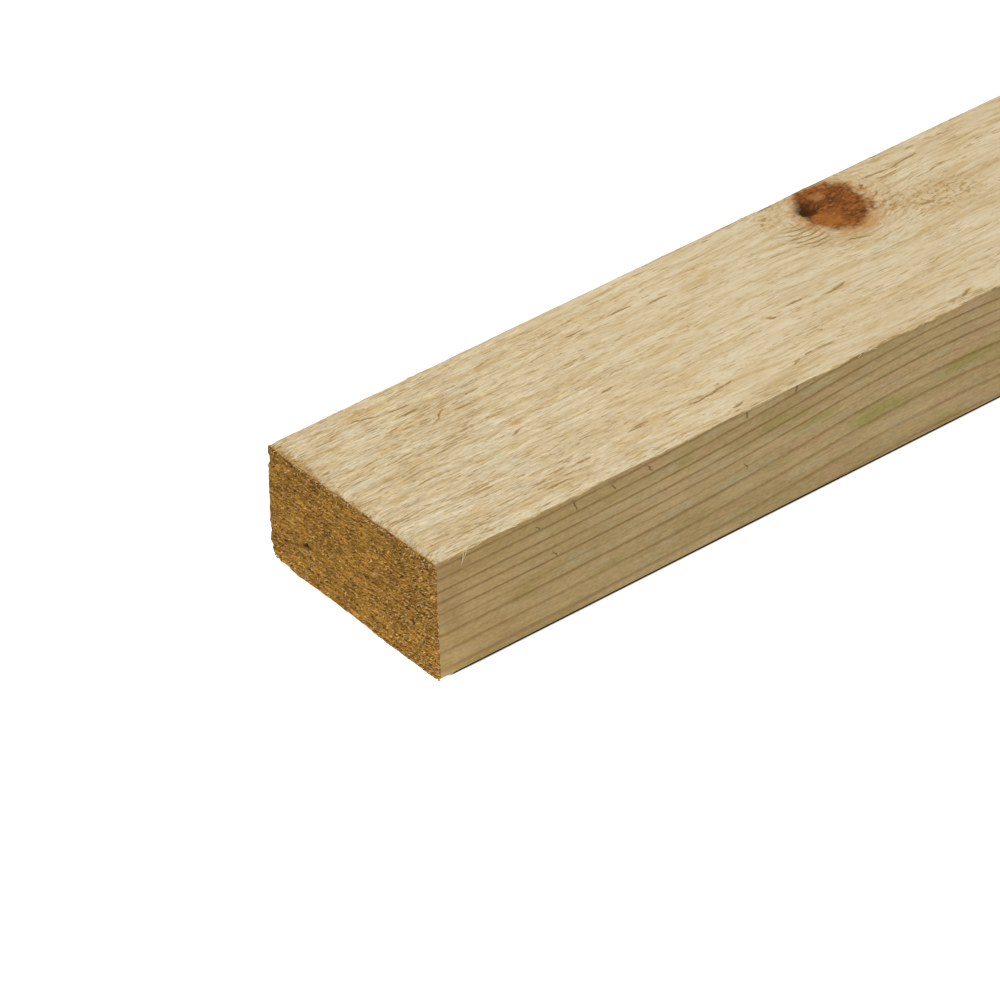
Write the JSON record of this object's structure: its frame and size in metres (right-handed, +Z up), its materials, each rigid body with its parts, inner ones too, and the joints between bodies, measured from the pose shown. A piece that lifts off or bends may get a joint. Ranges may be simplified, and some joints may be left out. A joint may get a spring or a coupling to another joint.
{
  "type": "wooden batten",
  "caption": "Long rectangular softwood batten with a rough sawn top, planed sides, rounded lower arrises and square saw-cut ends; fixed flat to carry boards, tiles or cladding.",
  "frame": {"origin": "middle of the underside", "axes": "+X along the length, away from the saw-cut end shown in the picture; +Y across the width, from the side in view to the far side; +Z up, out of the rough sawn face"},
  "size_m": [1.8, 0.047, 0.025],
  "materials": {
    "softwood": "unfinished treated softwood, rough sawn above, planed on the sides and underside"
  },
  "bodies": {
    "root": {"batten": "softwood"}
  },
  "joints": []
}
